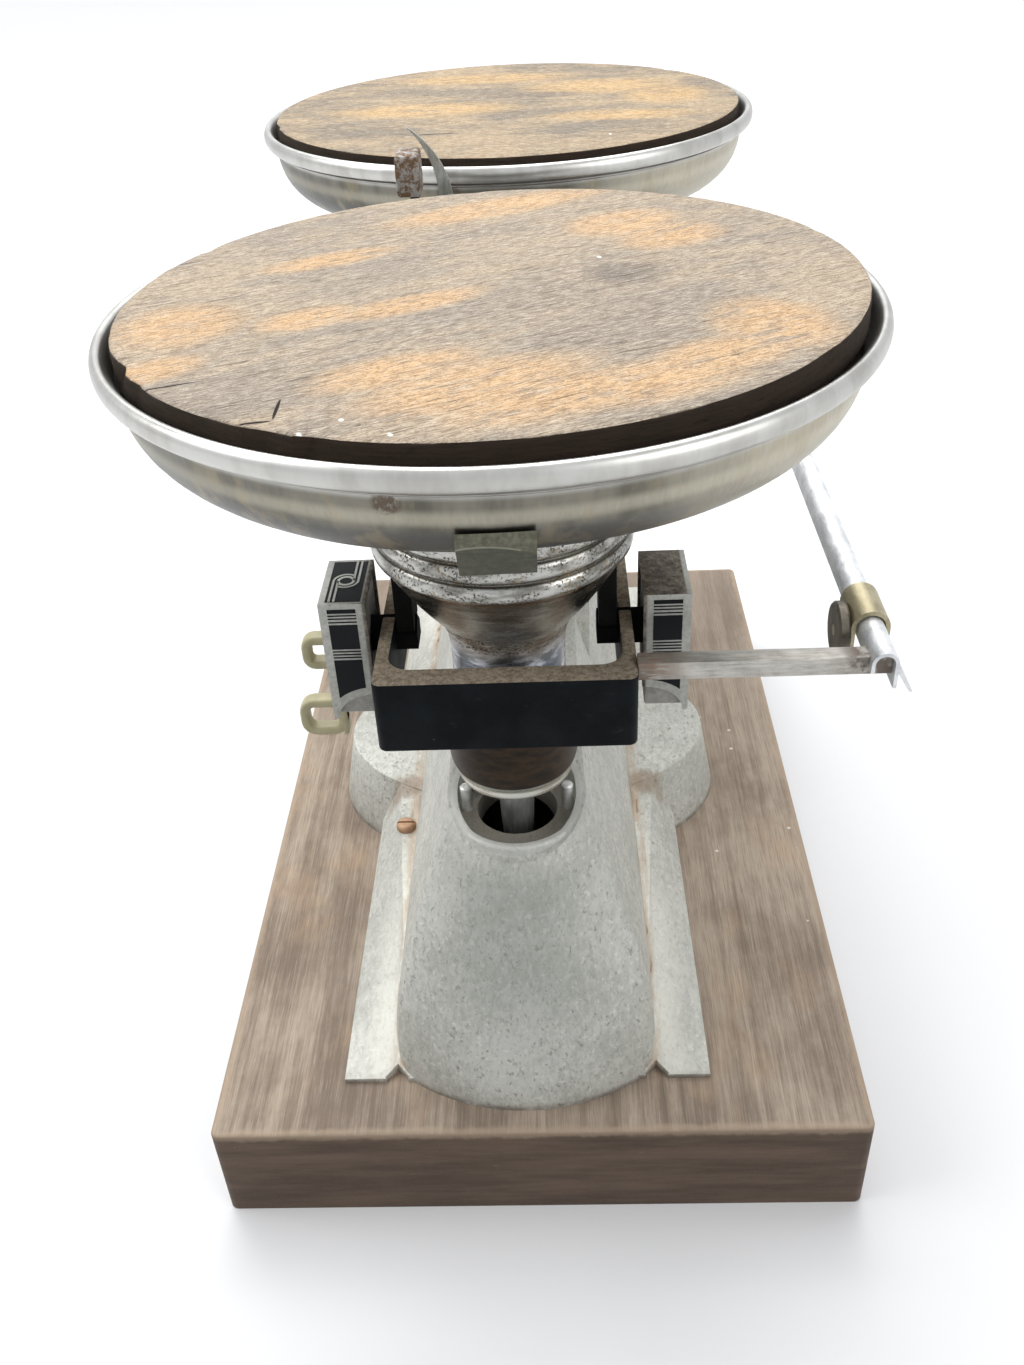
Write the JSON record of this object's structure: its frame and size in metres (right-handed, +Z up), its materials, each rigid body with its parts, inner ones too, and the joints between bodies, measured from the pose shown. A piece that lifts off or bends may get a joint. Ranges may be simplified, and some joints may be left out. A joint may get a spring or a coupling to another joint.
{
  "type": "trip balance",
  "caption": "Two-pan trip balance with wooden disc inserts, open beam, side scale rail with poise, and cast base on a wooden board.",
  "frame": {"origin": "on the board's underside, straight below the middle of the main knife edge", "axes": "+Y along the beam from the near pan to the far pan, +X towards the scale rail, +Z up"},
  "size_m": [0.17, 0.3356, 0.2437],
  "materials": {
    "walnut_board": "satin",
    "hammered_paint": "satin",
    "copper_screw": "satin",
    "black_iron": "satin",
    "dull_steel": "satin",
    "bearing_steel": "satin",
    "grey_metal": "matte",
    "black_beam": "satin",
    "bright_steel": "polished",
    "cream_plastic": "satin",
    "rail_metal": "satin",
    "brass": "satin",
    "dark_weight": "satin",
    "pin_metal": "satin",
    "bar_steel": "satin",
    "pitted_chrome": "polished",
    "stem_aluminium": "satin",
    "olive_strip": "satin",
    "dish_aluminium": "satin",
    "near_disc_wood": "matte",
    "far_disc_wood": "matte",
    "enamelled_cover": "satin"
  },
  "bodies": {
    "base": {"wood_board": "walnut_board", "base_casting": "hammered_paint", "casting_screws": "copper_screw", "bearing_bracket": "black_iron", "bracket_screws": "dull_steel", "main_bearings": "bearing_steel", "index_post": "black_iron", "index_block": "grey_metal", "check_link_pin": "dull_steel", "near_stop_pins": "pin_metal", "far_stop_pins": "pin_metal"},
    "beam": {"beam_frame": "black_beam", "main_knife_edge": "bearing_steel", "pointer": "bright_steel", "pointer_clamp": "bright_steel", "cream_clip": "cream_plastic", "scale_rail": "rail_metal", "near_knife_edges": "bearing_steel", "far_knife_edges": "bearing_steel", "near_knife_brackets": "grey_metal", "far_knife_brackets": "grey_metal", "near_scale_bar": "bar_steel", "far_scale_bar": "bar_steel", "near_left_cover": "enamelled_cover", "near_right_cover": "enamelled_cover", "far_left_cover": "enamelled_cover", "far_right_cover": "enamelled_cover"},
    "check_link": {"check_link": "dull_steel"},
    "poise": {"poise_saddle": "brass", "poise_weight": "dark_weight", "poise_rivet": "brass"},
    "near_pan_support": {"near_pan_column": "pitted_chrome", "near_pan_stem": "stem_aluminium", "near_stem_pin": "dull_steel", "near_pan_bearings": "bearing_steel", "near_spider": "olive_strip", "near_spider_screw": "dull_steel"},
    "near_pan": {"near_dish": "dish_aluminium"},
    "near_disc": {"near_wood_disc": "near_disc_wood"},
    "far_pan_support": {"far_pan_column": "pitted_chrome", "far_pan_stem": "stem_aluminium", "far_stem_pin": "dull_steel", "far_pan_bearings": "bearing_steel", "far_spider": "olive_strip", "far_spider_screw": "dull_steel"},
    "far_pan": {"far_dish": "dish_aluminium"},
    "far_disc": {"far_wood_disc": "far_disc_wood"}
  },
  "joints": [
    {"name": "beam_tilt", "type": "hinge", "parent": "base", "child": "beam", "pos_m": [0, 0, 0.1584], "axis": [1, 0, 0], "range_deg": [-4, 4]},
    {"name": "check_link_tilt", "type": "hinge", "parent": "base", "child": "check_link", "pos_m": [0, 0, 0.062], "axis": [1, 0, 0], "range_deg": [-4.5, 4.5]},
    {"name": "poise_slide", "type": "slide", "parent": "beam", "child": "poise", "axis": [0, 1, 0], "range_m": [-0.006, 0.199]},
    {"name": "near_pan_swing", "type": "hinge", "parent": "beam", "child": "near_pan_support", "pos_m": [0, -0.0915, 0.1584], "axis": [1, 0, 0], "range_deg": [-4.5, 4.5]},
    {"name": "near_dish_lift", "type": "slide", "parent": "near_pan_support", "child": "near_pan", "axis": [0, 0, 1], "range_m": [0, 0.05]},
    {"name": "near_disc_lift", "type": "slide", "parent": "near_pan", "child": "near_disc", "axis": [0, 0, 1], "range_m": [0, 0.04]},
    {"name": "far_pan_swing", "type": "hinge", "parent": "beam", "child": "far_pan_support", "pos_m": [0, 0.0915, 0.1584], "axis": [1, 0, 0], "range_deg": [-4.5, 4.5]},
    {"name": "far_dish_lift", "type": "slide", "parent": "far_pan_support", "child": "far_pan", "axis": [0, 0, 1], "range_m": [0, 0.05]},
    {"name": "far_disc_lift", "type": "slide", "parent": "far_pan", "child": "far_disc", "axis": [0, 0, 1], "range_m": [0, 0.04]}
  ],
  "couplings": [
    {"joint": "check_link_tilt", "follows": "beam_tilt", "ratio": 1},
    {"joint": "near_pan_swing", "follows": "beam_tilt", "ratio": -1},
    {"joint": "far_pan_swing", "follows": "beam_tilt", "ratio": -1}
  ]
}
